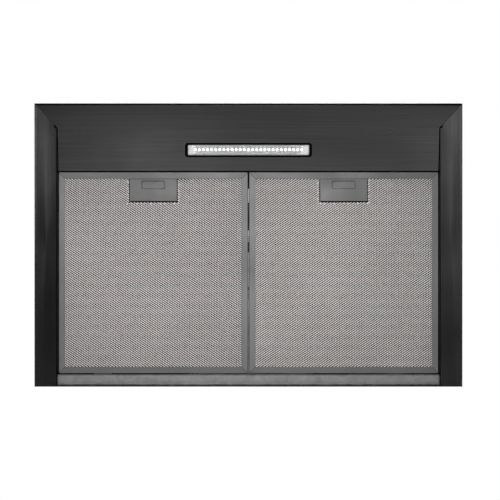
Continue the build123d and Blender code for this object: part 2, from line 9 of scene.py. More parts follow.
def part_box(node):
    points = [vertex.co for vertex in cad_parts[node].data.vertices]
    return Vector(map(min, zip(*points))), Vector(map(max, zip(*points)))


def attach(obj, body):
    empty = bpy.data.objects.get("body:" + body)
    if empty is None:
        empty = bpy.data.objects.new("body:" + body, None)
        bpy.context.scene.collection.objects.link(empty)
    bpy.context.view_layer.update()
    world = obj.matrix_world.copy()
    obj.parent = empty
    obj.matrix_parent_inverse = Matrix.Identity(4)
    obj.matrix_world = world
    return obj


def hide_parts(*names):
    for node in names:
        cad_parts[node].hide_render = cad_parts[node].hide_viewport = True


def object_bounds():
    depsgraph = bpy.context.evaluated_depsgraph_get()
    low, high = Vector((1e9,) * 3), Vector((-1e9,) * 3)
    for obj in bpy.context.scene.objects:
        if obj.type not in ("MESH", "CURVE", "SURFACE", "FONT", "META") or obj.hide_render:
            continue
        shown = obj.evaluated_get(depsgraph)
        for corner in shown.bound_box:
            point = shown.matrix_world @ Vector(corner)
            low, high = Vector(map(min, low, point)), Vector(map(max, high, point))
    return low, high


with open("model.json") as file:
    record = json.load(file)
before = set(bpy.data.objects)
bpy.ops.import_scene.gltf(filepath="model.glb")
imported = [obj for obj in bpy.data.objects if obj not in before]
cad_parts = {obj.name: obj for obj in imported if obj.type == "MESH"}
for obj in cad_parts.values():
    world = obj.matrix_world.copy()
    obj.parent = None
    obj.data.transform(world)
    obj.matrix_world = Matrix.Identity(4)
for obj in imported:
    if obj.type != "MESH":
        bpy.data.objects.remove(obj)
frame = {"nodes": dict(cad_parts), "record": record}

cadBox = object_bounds()
mm = 0.001
print("frame loaded:", len(frame["nodes"]), "nodes")


# small helpers

def addObject(name, mesh):
    thing = bpy.data.objects.new(name, mesh)
    bpy.context.scene.collection.objects.link(thing)
    return thing


def meshFrom(name, build):
    # build fills a fresh bmesh; faces are turned outwards afterwards
    work = bmesh.new()
    build(work)
    bmesh.ops.recalc_face_normals(work, faces=work.faces)
    mesh = bpy.data.meshes.new(name)
    work.to_mesh(mesh)
    work.free()
    return mesh


def ringFace(work, points):
    return work.faces.new([work.verts.new(p) for p in points])


def prism(work, bottom, top):
    # closed prism between two loops of the same length
    low = [work.verts.new(p) for p in bottom]
    high = [work.verts.new(p) for p in top]
    work.faces.new(low)
    work.faces.new(high)
    for i in range(len(low)):
        following = (i + 1) % len(low)
        work.faces.new((low[i], low[following], high[following], high[i]))


def blockInto(work, low, high):
    corners = [(low[0], low[1]), (high[0], low[1]), (high[0], high[1]), (low[0], high[1])]
    prism(work, [(x, y, low[2]) for x, y in corners], [(x, y, high[2]) for x, y in corners])


def smoothByAngle(thing, degrees):
    mesh = thing.data
    mesh.shade_smooth()
    mesh.set_sharp_from_angle(angle=math.radians(degrees))


def dress(thing, body, material=None, replaces=()):
    # hands a finished piece to the frame
    if material:
        thing.data.materials.clear()
        thing.data.materials.append(material)
    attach(thing, body)
    if replaces:
        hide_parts(*replaces)


def mathNode(tree, operation, a, b=None):
    node = tree.nodes.new("ShaderNodeMath")
    node.operation = operation
    for socket, value in zip(node.inputs, (a, b)):
        if value is None:
            continue
        if isinstance(value, (int, float)):
            socket.default_value = value
        else:
            tree.links.new(value, socket)
    return node.outputs[0]


# materials

def startMaterial(name):
    material = bpy.data.materials.new(name)
    material.use_nodes = True
    tree = material.node_tree
    shader = tree.nodes["Principled BSDF"]
    return material, tree, shader


def put(tree, kind, **values):
    # adds a node; plain keys are node settings, keys with a leading _ are input values
    node = tree.nodes.new(kind)
    for key, value in values.items():
        if key.startswith("_"):
            node.inputs[key[1:].replace("_", " ")].default_value = value
        else:
            setattr(node, key, value)
    return node


def placedPattern(tree, scale=(1, 1, 1)):
    # object coordinates through a Mapping node
    coords = put(tree, "ShaderNodeTexCoord")
    mapping = put(tree, "ShaderNodeMapping", _Scale=scale, _Rotation=(0, 0, 0))
    tree.links.new(coords.outputs["Object"], mapping.inputs["Vector"])
    return mapping.outputs["Vector"]


def mapRange(tree, value, low, high, fromLow=0.0, fromHigh=1.0):
    node = put(tree, "ShaderNodeMapRange")
    node.inputs["From Min"].default_value = fromLow
    node.inputs["From Max"].default_value = fromHigh
    node.inputs["To Min"].default_value = low
    node.inputs["To Max"].default_value = high
    tree.links.new(value, node.inputs["Value"])
    return node.outputs["Result"]


# noise stays near its middle, so shades and roughness run over this part of its range
noiseMiddle = (0.3, 0.7)
noiseCore = (0.35, 0.65)


def noise(tree, vector, scale, detail):
    node = put(tree, "ShaderNodeTexNoise", _Scale=scale, _Detail=detail, _Roughness=0.55)
    tree.links.new(vector, node.inputs["Vector"])
    return node.outputs["Fac"]


def mixColor(tree, factor, first, second):
    node = put(tree, "ShaderNodeMix", data_type="RGBA")
    tree.links.new(factor, node.inputs["Factor"])
    for socket, value in ((node.inputs[6], first), (node.inputs[7], second)):
        if isinstance(value, tuple):
            socket.default_value = value
        else:
            tree.links.new(value, socket)
    return node.outputs[2]


def edgeMask(tree, radius):
    # 0 on flats, 1 on edges: how far a rounded normal leans from the true one
    bevel = put(tree, "ShaderNodeBevel", samples=4)
    bevel.inputs["Radius"].default_value = radius
    geometry = put(tree, "ShaderNodeNewGeometry")
    dot = put(tree, "ShaderNodeVectorMath", operation="DOT_PRODUCT")
    tree.links.new(bevel.outputs["Normal"], dot.inputs[0])
    tree.links.new(geometry.outputs["Normal"], dot.inputs[1])
    return mapRange(tree, dot.outputs["Value"], 1.0, 0.0, 0.8, 0.99), bevel.outputs["Normal"]


def bumped(tree, height, strength, distance, normal=None):
    bump = put(tree, "ShaderNodeBump", _Strength=strength, _Distance=distance)
    tree.links.new(height, bump.inputs["Height"])
    if normal:
        tree.links.new(normal, bump.inputs["Normal"])
    return bump.outputs["Normal"]


def grey(level):
    return (level, level, level, 1.0)


blackSheet = {
    "colour": (0.067, 0.066, 0.066, 1.0),
    "grainShade": (0.049, 0.048, 0.048, 1.0),
    "edgeHighlight": (0.16, 0.16, 0.16, 1.0),
    "panelRoughness": (0.21, 0.28),
    "railRoughness": (0.15, 0.21),
    "grainPerMetre": 1400,
    "grainLength": 5,
    "grainDepth": 0.03 * mm,
    "edgeRadius": 0.5 * mm,
    "anisotropy": 0.3,
}


def brushedBlack(name, alongX):
    # black coated stainless: fine brush lines along the length of the sheet
    material, tree, shader = startMaterial(name)
    fine = blackSheet["grainPerMetre"]
    long = blackSheet["grainLength"]
    scale = (long, fine, fine) if alongX else (fine, long, fine)
    lines = noise(tree, placedPattern(tree, scale), 1.0, 2.0)
    clouds = noise(tree, placedPattern(tree), 9.0, 4.0)
    edges, rounded = edgeMask(tree, blackSheet["edgeRadius"])
    grain = mapRange(tree, lines, 0, 1, *noiseCore)
    shade = mixColor(tree, grain, blackSheet["grainShade"], blackSheet["colour"])
    # painted highlight: the sheet's edges are painted lighter, as if they caught the light
    edgeHighlighted = mixColor(tree, edges, shade, blackSheet["edgeHighlight"])
    tree.links.new(edgeHighlighted, shader.inputs["Base Color"])
    low, high = blackSheet["panelRoughness" if alongX else "railRoughness"]
    tree.links.new(mapRange(tree, clouds, low, high, *noiseMiddle), shader.inputs["Roughness"])
    shader.inputs["Metallic"].default_value = 1.0
    shader.inputs["Anisotropic"].default_value = blackSheet["anisotropy"]
    normal = bumped(tree, lines, 0.35, blackSheet["grainDepth"], rounded)
    tree.links.new(normal, shader.inputs["Normal"])
    return material


zincSheet = {
    "light": grey(0.50),
    "dark": grey(0.34),
    "roughness": (0.30, 0.48),
    "spanglesPerMetre": 120,
    "dirtShade": grey(0.22),
    "edgeHighlight": grey(0.62),
    "edgeRadius": 0.4 * mm,
    "dirtDepth": 0.2 * mm,
}


def zincCoated(name, light, dark):
    # galvanised sheet: crystal spangles of different brightness
    material, tree, shader = startMaterial(name)
    place = placedPattern(tree)
    spangle = put(tree, "ShaderNodeTexVoronoi", _Scale=zincSheet["spanglesPerMetre"])
    tree.links.new(place, spangle.inputs["Vector"])
    parts = put(tree, "ShaderNodeSeparateColor")
    tree.links.new(spangle.outputs["Color"], parts.inputs["Color"])
    dirt = noise(tree, place, 22.0, 5.0)
    shade = mixColor(tree, parts.outputs["Red"], dark, light)
    edges, rounded = edgeMask(tree, zincSheet["edgeRadius"])
    shade = mixColor(tree, mapRange(tree, dirt, 0.0, 0.35, 0.4, 0.8), shade, zincSheet["dirtShade"])
    # painted highlight: the sheet's edges are painted lighter, as if they caught the light
    edgeHighlighted = mixColor(tree, edges, shade, zincSheet["edgeHighlight"])
    tree.links.new(edgeHighlighted, shader.inputs["Base Color"])
    low, high = zincSheet["roughness"]
    tree.links.new(mapRange(tree, parts.outputs["Green"], low, high), shader.inputs["Roughness"])
    shader.inputs["Metallic"].default_value = 1.0
    tree.links.new(bumped(tree, dirt, 0.2, zincSheet["dirtDepth"], rounded), shader.inputs["Normal"])
    return material


rollingDepth = 0.04 * mm


def rolledAluminium(name, shade, spread, roughness, scale, edge=0.0, patch=0.07):
    # satin aluminium with lines in the rolling direction; scale is low along the lines;
    # spread and patch are how far shade and roughness vary, edge is the radius of the edges painted
    # lighter as a painted highlight
    material, tree, shader = startMaterial(name)
    lines = noise(tree, placedPattern(tree, scale), 1.0, 3.0)
    haze = noise(tree, placedPattern(tree), 14.0, 4.0)
    streaks = mapRange(tree, lines, 0, 1, *noiseMiddle)
    base = mixColor(tree, streaks, grey(shade - spread), grey(shade + spread))
    rounded = None
    # painted highlight: the edges are painted lighter than the face
    if edge:
        edges, rounded = edgeMask(tree, edge)
        base = mixColor(tree, edges, base, grey(min(shade * 1.5, 0.85)))
    tree.links.new(bumped(tree, lines, 0.3, rollingDepth, rounded), shader.inputs["Normal"])
    tree.links.new(base, shader.inputs["Base Color"])
    rough = mapRange(tree, haze, roughness - patch, roughness + patch, *noiseMiddle)
    tree.links.new(rough, shader.inputs["Roughness"])
    shader.inputs["Metallic"].default_value = 1.0
    return material


filterRim = {
    # painted sheen: one metal, with the legs along X painted darker than the legs along Y
    "crossPaintedSheen": 0.175,
    "lengthPaintedSheen": 0.215,
    # the dark of the mitre joints, and of the side walls where it is painted shadow
    "jointAndPaintedShadow": 0.05,
    "seamWidth": 0.5 * mm,
    "wallDepth": 0.8 * mm,
    "edgeHighlight": 0.5,
    "edgeRadius": 0.5 * mm,
    "shadeSpread": 0.07,
    "grainPerMetre": 1500,
    "grainLength": 8,
    "roughness": (0.34, 0.46),
}


def rimGrain(tree, scale, shade):
    # brush lines and the shade that varies with them
    lines = noise(tree, placedPattern(tree, scale), 1.0, 3.0)
    spread = filterRim["shadeSpread"]
    streaks = mapRange(tree, lines, 0, 1, *noiseMiddle)
    return lines, mixColor(tree, streaks, grey(shade * (1 - spread)), grey(shade * (1 + spread)))


def mitredRim(name, low, high, middle):
    # channel frame of a filter: grain runs along each leg and turns at a dark mitre line;
    # low and high are the right frame's box, middle is where the mesh's middle lies along Y
    material, tree, shader = startMaterial(name)
    place = placedPattern(tree)
    axes = put(tree, "ShaderNodeSeparateXYZ")
    tree.links.new(place, axes.inputs[0])
    aside = mathNode(tree, "SUBTRACT", mathNode(tree, "ABSOLUTE", axes.outputs["X"]), (low.x + high.x) / 2)
    along = mathNode(tree, "SUBTRACT", axes.outputs["Y"], middle)
    fromSide = mathNode(tree, "SUBTRACT", (high.x - low.x) / 2, mathNode(tree, "ABSOLUTE", aside))
    fromEnd = mathNode(tree, "SUBTRACT", middle - low.y, mathNode(tree, "ABSOLUTE", along))
    apart = mathNode(tree, "SUBTRACT", fromEnd, fromSide)
    fine = filterRim["grainPerMetre"]
    long = filterRim["grainLength"]
    # painted sheen: the legs along X and along Y get different shades of one metal, as brushed metal
    # catches light by its grain
    cross, crossPaintedSheen = rimGrain(tree, (long, fine, fine), filterRim["crossPaintedSheen"])
    lengthPaintedSheen = rimGrain(tree, (fine, long, fine), filterRim["lengthPaintedSheen"])[1]
    onSide = mathNode(tree, "GREATER_THAN", apart, 0.0)
    mitre = mathNode(tree, "LESS_THAN", mathNode(tree, "ABSOLUTE", apart), filterRim["seamWidth"])
    # painted shadow: the frame's side walls are painted dark, as the shade in the gaps beside the filters;
    # the mitre line is a dark joint
    wallShadowMask = mathNode(tree, "LESS_THAN", fromSide, filterRim["wallDepth"])
    jointAndShadowMask = mathNode(tree, "MAXIMUM", mitre, wallShadowMask)
    base = mixColor(tree, onSide, crossPaintedSheen, lengthPaintedSheen)
    edges, rounded = edgeMask(tree, filterRim["edgeRadius"])
    # painted highlight: the frame's edges are painted lighter, as if they caught the light
    base = mixColor(tree, edges, base, grey(filterRim["edgeHighlight"]))
    base = mixColor(tree, jointAndShadowMask, base, grey(filterRim["jointAndPaintedShadow"]))
    tree.links.new(base, shader.inputs["Base Color"])
    haze = noise(tree, place, 14.0, 4.0)
    roughness = mapRange(tree, haze, *filterRim["roughness"], *noiseMiddle)
    tree.links.new(roughness, shader.inputs["Roughness"])
    shader.inputs["Metallic"].default_value = 1.0
    tree.links.new(bumped(tree, cross, 0.3, rollingDepth, rounded), shader.inputs["Normal"])
    return material


def moulded(name, colour, roughness, bump=0.06 * mm, scale=1800.0, specular=0.5):
    # moulded plastic or rubber with a fine spark-eroded texture
    material, tree, shader = startMaterial(name)
    place = placedPattern(tree)
    grain = noise(tree, place, scale, 2.0)
    blotch = noise(tree, place, 30.0, 3.0)
    darker = tuple(c * 0.82 for c in colour[:3]) + (1.0,)
    shade = mixColor(tree, mapRange(tree, blotch, 0, 1, *noiseCore), darker, colour)
    tree.links.new(shade, shader.inputs["Base Color"])
    rough = mapRange(tree, grain, roughness - 0.05, roughness + 0.07, *noiseMiddle)
    tree.links.new(rough, shader.inputs["Roughness"])
    tree.links.new(bumped(tree, grain, 0.4, bump), shader.inputs["Normal"])
    shader.inputs["Specular IOR Level"].default_value = specular
    return material


def clearCover(name):
    # the lamp's clear moulded cover, a little hazy
    material, tree, shader = startMaterial(name)
    place = placedPattern(tree)
    ripple = noise(tree, place, 160.0, 2.0)
    tree.links.new(mapRange(tree, ripple, 0.04, 0.14, *noiseMiddle), shader.inputs["Roughness"])
    tree.links.new(bumped(tree, ripple, 0.15, 0.1 * mm), shader.inputs["Normal"])
    shader.inputs["Base Color"].default_value = (0.97, 0.98, 0.99, 1.0)
    shader.inputs["Transmission Weight"].default_value = 1.0
    shader.inputs["IOR"].default_value = 1.35
    return material


def glowing(name, colour, strength):
    # a white surface that gives light of its own: the lamp's chips, and painted glow on the glints, the
    # frosted ends and the board
    material, tree, shader = startMaterial(name)
    place = placedPattern(tree)
    cells = noise(tree, place, 900.0, 1.0)
    tree.links.new(mixColor(tree, cells, grey(0.75), grey(0.9)), shader.inputs["Base Color"])
    shader.inputs["Emission Color"].default_value = colour
    shader.inputs["Emission Strength"].default_value = strength
    shader.inputs["Roughness"].default_value = 0.4
    return material


print("materials")
blackAlongX = brushedBlack("blackSheetAlongX", True)
blackAlongY = brushedBlack("blackSheetAlongY", False)
zinc = zincCoated("zincSheet", zincSheet["light"], zincSheet["dark"])
railZinc = zincCoated("railZinc", grey(0.32), grey(0.26))
meshLow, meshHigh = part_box("filter_mesh_right")
rimMetal = mitredRim("rimMetal", *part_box("filter_frame_right"), (meshLow.y + meshHigh.y) / 2)
# one aluminium in two copies: the bars of one diagonal are painted bright as painted light, those of the
# other painted dark as painted shadow
meshPaintedLit = rolledAluminium("meshPaintedLit", 0.95, 0.05, 0.40, (700, 700, 700), patch=0.015)
meshShadow = rolledAluminium("meshShadow", 0.28, 0.05, 0.40, (700, 700, 700), patch=0.015)
# painted shadow: the aluminium foil inside the filter is painted near black
foilPaintedShadow = rolledAluminium("foilPaintedShadow", 0.03, 0.015, 0.6, (500, 500, 500))
latchMetal = rolledAluminium("latchMetal", 0.23, 0.008, 0.46, (10, 1100, 1100), edge=0.4 * mm)
dullSteel = rolledAluminium("dullSteel", 0.2, 0.02, 0.5, (900, 900, 900))
motorPaint = moulded("motorPaint", (0.028, 0.028, 0.03, 1.0), 0.38)
blackPlastic = moulded("blackPlastic", (0.012, 0.012, 0.012, 1.0), 0.32, specular=0.4)
lampBlack = moulded("lampBlack", (0.0015, 0.0015, 0.0015, 1.0), 0.3, specular=0.03)
wheelPlastic = moulded("wheelPlastic", (0.018, 0.018, 0.02, 1.0), 0.42)
whitePlastic = moulded("whitePlastic", (0.62, 0.62, 0.60, 1.0), 0.40)
boardWhite = moulded("boardWhite", (0.50, 0.51, 0.52, 1.0), 0.35, scale=3000.0)
rubberBlack = moulded("rubberBlack", (0.014, 0.014, 0.014, 1.0), 0.62)
foamBlack = moulded("foamBlack", (0.030, 0.030, 0.031, 1.0), 0.85, bump=0.4 * mm, scale=700.0)
cableSheath = moulded("cableSheath", (0.016, 0.016, 0.017, 1.0), 0.45)
lensClear = clearCover("lensClear")
chipColour = (1.0, 0.99, 0.97, 1.0)
chipGlow = glowing("chipGlow", chipColour, 1.7)
# painted glints: a faint glow on small domes beside the chips
chipGlint = glowing("chipGlint", chipColour, 0.3)
# painted light: the frosted ends and the board glow as if lit by the chips inside the lamp
frostPaintedGlow = glowing("frostPaintedGlow", grey(1.0), 0.5)
boardLit = glowing("boardLit", grey(1.0), 0.1)

nodeMaterial = {
    "canopy_wrapper": blackAlongX, "back_panel": blackAlongX, "light_panel": blackAlongX,
    "left_end_panel": blackAlongY, "right_end_panel": blackAlongY, "rear_filter_rail": railZinc,
    "led_bezel": lampBlack, "led_board": boardLit, "led_tray": boardLit,
}
slotMaterial = {
    "galvanised": zinc, "filter_rim": rimMetal, "filter_mesh": meshPaintedLit, "latch_metal": latchMetal,
    "spring_steel": dullSteel, "zinc_screw": dullSteel, "motor_paint": motorPaint,
    "black_plastic": blackPlastic, "wheel_plastic": wheelPlastic, "white_plastic": whitePlastic,
    "lamp_board": boardWhite, "lamp_chip": chipGlow, "clear_lens": lensClear, "rubber": rubberBlack,
    "foam": foamBlack, "cable_sheath": cableSheath, "black_steel": blackAlongX,
}
for part in frame["record"]["subparts"]:
    thing = frame["nodes"][part["node"]]
    thing.data.materials.clear()
    thing.data.materials.append(nodeMaterial.get(part["node"], slotMaterial[part["material_slot"]]))


# expanded mesh of the grease filters, by Geometry Nodes

def vectorOf(tree, x=0.0, y=0.0, z=0.0):
    node = tree.nodes.new("ShaderNodeCombineXYZ")
    for socket, value in zip(node.inputs, (x, y, z)):
        if isinstance(value, (int, float)):
            socket.default_value = value
        else:
            tree.links.new(value, socket)
    return node.outputs[0]


def newTree(name, inputs):
    tree = bpy.data.node_groups.new(name, "GeometryNodeTree")
    tree.interface.new_socket(name="Geometry", in_out="OUTPUT", socket_type="NodeSocketGeometry")
    for label, kind, value in inputs:
        socket = tree.interface.new_socket(name=label, in_out="INPUT", socket_type="NodeSocket" + kind)
        if value is not None:
            socket.default_value = value
    return tree, tree.nodes.new("NodeGroupInput"), tree.nodes.new("NodeGroupOutput")


def runTree(name, tree, values):
    # runs a tree on an empty mesh and keeps the result as a plain mesh
    carrier = addObject(name + "Carrier", bpy.data.meshes.new(name + "Carrier"))
    modifier = carrier.modifiers.new("nodes", "NODES")
    modifier.node_group = tree
    for item in tree.interface.items_tree:
        if item.in_out == "INPUT" and item.name in values:
            modifier[item.identifier] = values[item.name]
    bpy.context.view_layer.update()
    done = carrier.evaluated_get(bpy.context.evaluated_depsgraph_get())
    mesh = bpy.data.meshes.new_from_object(done)
    mesh.name = name
    bpy.data.objects.remove(carrier)
    return addObject(name, mesh)


filterMesh = {
    "faceCell": (6.0 * mm, 3.95 * mm),
    "backCell": (8.4 * mm, 5.6 * mm),
    "barWidth": 1.08 * mm,
    "barThickness": 0.3 * mm,
    "brightLean": -0.07,
    "shadeLean": 0.62,
    "barOverlap": 1.12,
    "edgeRoom": 1.3 * mm,
    "latchRoom": (0.8 * mm, 0.7 * mm),
}


def leaningBarsTree():
    # one diagonal of expanded metal: a bar in every half cell, rows shifted in turn, a gap for the latch
    tree, given, out = newTree("leaningBars", [
        ("Columns", "Int", 52), ("Rows", "Int", 168),
        ("Long Way", "Float", 6.0 * mm), ("Short Way", "Float", 4.0 * mm),
        ("Bar Width", "Float", 1.2 * mm), ("Bar Thickness", "Float", 0.4 * mm),
        ("Lean", "Float", 0.3), ("Way", "Float", 1.0), ("Middle", "Vector", None),
        ("Gap Middle", "Vector", None), ("Gap Half", "Vector", None), ("Metal", "Material", None),
    ])
    long = given.outputs["Long Way"]
    short = given.outputs["Short Way"]
    way = given.outputs["Way"]
    halfLong = mathNode(tree, "MULTIPLY", long, 0.5)
    halfShort = mathNode(tree, "MULTIPLY", short, 0.5)
    squares = mathNode(tree, "ADD", mathNode(tree, "MULTIPLY", halfLong, halfLong),
                       mathNode(tree, "MULTIPLY", halfShort, halfShort))
    length = mathNode(tree, "MULTIPLY", mathNode(tree, "SQRT", squares), filterMesh["barOverlap"])
    slant = mathNode(tree, "MULTIPLY", mathNode(tree, "ARCTAN2", halfShort, halfLong), way)

    cube = tree.nodes.new("GeometryNodeMeshCube")
    tree.links.new(vectorOf(tree, length, given.outputs["Bar Width"], given.outputs["Bar Thickness"]),
             cube.inputs["Size"])
    bar = tree.nodes.new("GeometryNodeTransform")
    tree.links.new(cube.outputs["Mesh"], bar.inputs["Geometry"])
    tree.links.new(vectorOf(tree, given.outputs["Lean"], 0.0, slant), bar.inputs["Rotation"])
    quarter = mathNode(tree, "MULTIPLY", mathNode(tree, "MULTIPLY", halfLong, -0.5), way)
    up = mathNode(tree, "MULTIPLY", halfShort, 0.5)
    tree.links.new(vectorOf(tree, quarter, up), bar.inputs["Translation"])

    grid = tree.nodes.new("GeometryNodeMeshGrid")
    spanX = mathNode(tree, "MULTIPLY", mathNode(tree, "SUBTRACT", given.outputs["Columns"], 1.0), long)
    spanY = mathNode(tree, "MULTIPLY", mathNode(tree, "SUBTRACT", given.outputs["Rows"], 1.0), halfShort)
    tree.links.new(spanX, grid.inputs["Size X"])
    tree.links.new(spanY, grid.inputs["Size Y"])
    tree.links.new(given.outputs["Columns"], grid.inputs["Vertices X"])
    tree.links.new(given.outputs["Rows"], grid.inputs["Vertices Y"])
    position = tree.nodes.new("GeometryNodeInputPosition")
    split = tree.nodes.new("ShaderNodeSeparateXYZ")
    tree.links.new(position.outputs[0], split.inputs[0])
    fromEdge = mathNode(tree, "ADD", split.outputs["Y"], mathNode(tree, "MULTIPLY", spanY, 0.5))
    row = mathNode(tree, "ROUND", mathNode(tree, "DIVIDE", fromEdge, halfShort))
    odd = mathNode(tree, "MODULO", row, 2.0)
    side = mathNode(tree, "MULTIPLY", mathNode(tree, "SUBTRACT", odd, 0.5), halfLong)
    shifted = tree.nodes.new("GeometryNodeSetPosition")
    tree.links.new(grid.outputs["Mesh"], shifted.inputs["Geometry"])
    tree.links.new(vectorOf(tree, side), shifted.inputs["Offset"])
    placed = tree.nodes.new("GeometryNodeTransform")
    tree.links.new(shifted.outputs["Geometry"], placed.inputs["Geometry"])
    tree.links.new(given.outputs["Middle"], placed.inputs["Translation"])

    away = tree.nodes.new("ShaderNodeVectorMath")
    away.operation = "SUBTRACT"
    tree.links.new(position.outputs[0], away.inputs[0])
    tree.links.new(given.outputs["Gap Middle"], away.inputs[1])
    size = tree.nodes.new("ShaderNodeVectorMath")
    size.operation = "ABSOLUTE"
    tree.links.new(away.outputs[0], size.inputs[0])
    near = tree.nodes.new("ShaderNodeSeparateXYZ")
    tree.links.new(size.outputs[0], near.inputs[0])
    room = tree.nodes.new("ShaderNodeSeparateXYZ")
    tree.links.new(given.outputs["Gap Half"], room.inputs[0])
    insideX = mathNode(tree, "LESS_THAN", near.outputs["X"], room.outputs["X"])
    insideY = mathNode(tree, "LESS_THAN", near.outputs["Y"], room.outputs["Y"])
    drop = tree.nodes.new("GeometryNodeDeleteGeometry")
    drop.domain = "POINT"
    tree.links.new(placed.outputs["Geometry"], drop.inputs["Geometry"])
    tree.links.new(mathNode(tree, "MULTIPLY", insideX, insideY), drop.inputs["Selection"])

    spread = tree.nodes.new("GeometryNodeInstanceOnPoints")
    tree.links.new(drop.outputs["Geometry"], spread.inputs["Points"])
    tree.links.new(bar.outputs["Geometry"], spread.inputs["Instance"])
    finishTree(tree, spread.outputs["Instances"], given.outputs["Metal"], out)
    return tree


def finishTree(tree, instances, material, out):
    real = tree.nodes.new("GeometryNodeRealizeInstances")
    tree.links.new(instances, real.inputs["Geometry"])
    paint = tree.nodes.new("GeometryNodeSetMaterial")
    tree.links.new(real.outputs["Geometry"], paint.inputs["Geometry"])
    tree.links.new(material, paint.inputs["Material"])
    tree.links.new(paint.outputs["Geometry"], out.inputs["Geometry"])


def filterMeshes(side, tree):
    low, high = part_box("filter_mesh_" + side)
    latchLow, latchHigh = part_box("latch_housing_" + side)
    mirror = 1.0 if side == "left" else -1.0
    room = filterMesh["edgeRoom"]
    roomX, roomY = filterMesh["latchRoom"]
    bright, shade = filterMesh["brightLean"], filterMesh["shadeLean"]
    # two faces of two layers each; a layer holds the bars of one diagonal
    layers = (
        ("FaceBright", filterMesh["faceCell"], low.z + room, mirror, bright),
        ("FaceShade", filterMesh["faceCell"], low.z + room, -mirror, shade),
        ("BackBright", filterMesh["backCell"], high.z - room, -mirror, shade),
        ("BackShade", filterMesh["backCell"], high.z - room, mirror, bright),
    )
    for label, (long, short), z, way, lean in layers:
        middle = Vector(((low.x + high.x) / 2, (low.y + high.y) / 2 - short / 4, z))
        gapMiddle = (latchLow + latchHigh) / 2 + Vector((way * long / 4, -short / 4, 0))
        gapHalf = (latchHigh - latchLow) / 2 + Vector((long / 4 + roomX, short / 4 + roomY, 0))
        columns = int((high.x - low.x - 2 * room) / long - 0.5)
        rows = int((high.y - low.y - 2 * room) / (short / 2)) - 1
        # bars of the bright lean get the copy painted bright, the others the copy painted as shadow
        made = runTree(side + "Mesh" + label, tree, {
            "Columns": columns, "Rows": rows, "Long Way": long, "Short Way": short,
            "Bar Width": filterMesh["barWidth"], "Bar Thickness": filterMesh["barThickness"],
            "Lean": lean, "Way": way, "Middle": middle, "Gap Middle": gapMiddle, "Gap Half": gapHalf,
            "Metal": meshPaintedLit if lean == bright else meshShadow,
        })
        dress(made, side + "_filter", replaces=("filter_mesh_" + side,))
        print("  ", made.name, len(made.data.polygons), "faces")


filterCoreSheet = {
    "pleats": 60,
    "rows": 40,
    "pleatHeight": 1.6 * mm,
    "dimple": 0.3 * mm,
    "inset": 3 * mm,
    "rise": 0.6 * mm,
}


def filterCore(side):
    # the foil layers packed between the two faces: a pleated sheet that closes the view, painted near
    # black as painted shadow inside the filter
    low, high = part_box("filter_mesh_" + side)
    plateLow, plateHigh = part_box("latch_plate_" + side)
    inset = filterCoreSheet["inset"]
    middle = (low.z + high.z) / 2 + filterCoreSheet["rise"]
    columns = filterCoreSheet["pleats"] * 2
    rows = filterCoreSheet["rows"]
    wide = high.x - low.x - 2 * inset
    deep = high.y - low.y - 2 * inset

    def sheetInto(work):
        bmesh.ops.create_grid(work, x_segments=columns, y_segments=rows, size=0.5)
        for vert in work.verts:
            across = vert.co.x + 0.5
            along = vert.co.y + 0.5
            lift = filterCoreSheet["pleatHeight"] * (round(across * columns) % 2 - 0.5)
            lift += filterCoreSheet["dimple"] * (round(along * rows) % 2)
            vert.co = Vector((low.x + inset + across * wide, low.y + inset + along * deep, middle + lift))
        hidden = [v for v in work.verts if v.co.y < plateHigh.y + inset
                  and plateLow.x - inset < v.co.x < plateHigh.x + inset]
        bmesh.ops.delete(work, geom=hidden, context="VERTS")

    core = addObject(side + "MeshCore", meshFrom(side + "MeshCore", sheetInto))
    dress(core, side + "_filter", foilPaintedShadow, replaces=("filter_mesh_" + side,))


print("filter meshes")
leaningBars = leaningBarsTree()
for side in ("left", "right"):
    filterMeshes(side, leaningBars)
    filterCore(side)


# lamp: optics over the chips, frosted ends

lamp = {
    "opticRadius": 2.1 * mm,
    "opticLift": 0.6 * mm,
    "glintRadius": 1.0 * mm,
    "glintAside": 5.2 * mm,
    "frostLength": 7.8 * mm,
    "frostWidth": 17.0 * mm,
    "frostThickness": 0.9 * mm,
    "frostInset": 3.4 * mm,
    "frostDepth": 3.4 * mm,
    "frostEdge": 0.25 * mm,
    "chips": 27,
    "pitch": 7.3 * mm,
}


def domeRowTree():
    # a row of low domes along X
    tree, given, out = newTree("domeRow", [
        ("Count", "Int", 27), ("Pitch", "Float", 7.3 * mm), ("Radius", "Float", 2 * mm),
        ("Start", "Vector", None), ("Glass", "Material", None),
    ])
    line = tree.nodes.new("GeometryNodeMeshLine")
    tree.links.new(given.outputs["Count"], line.inputs["Count"])
    tree.links.new(given.outputs["Start"], line.inputs["Start Location"])
    tree.links.new(vectorOf(tree, given.outputs["Pitch"]), line.inputs["Offset"])
    ball = tree.nodes.new("GeometryNodeMeshUVSphere")
    ball.inputs["Segments"].default_value = 14
    ball.inputs["Rings"].default_value = 7
    tree.links.new(given.outputs["Radius"], ball.inputs["Radius"])
    spread = tree.nodes.new("GeometryNodeInstanceOnPoints")
    tree.links.new(line.outputs["Mesh"], spread.inputs["Points"])
    tree.links.new(ball.outputs["Mesh"], spread.inputs["Instance"])
    finishTree(tree, spread.outputs["Instances"], given.outputs["Glass"], out)
    return tree


def lampPlace():
    # the board's own frame: X along it, Z square to it and up into the hood
    board = frame["nodes"]["led_board"]
    widest = max(board.data.polygons, key=lambda face: face.area)
    up = widest.normal if widest.normal.z > 0 else -widest.normal
    low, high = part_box("led_board")
    place = Matrix((Vector((1, 0, 0)), up.cross(Vector((1, 0, 0))), up)).transposed().to_4x4()
    place.translation = (low + high) / 2
    return place


print("lamp")
lampFrame = lampPlace()
domeRow = domeRowTree()
firstChip = -(lamp["chips"] - 1) / 2 * lamp["pitch"]
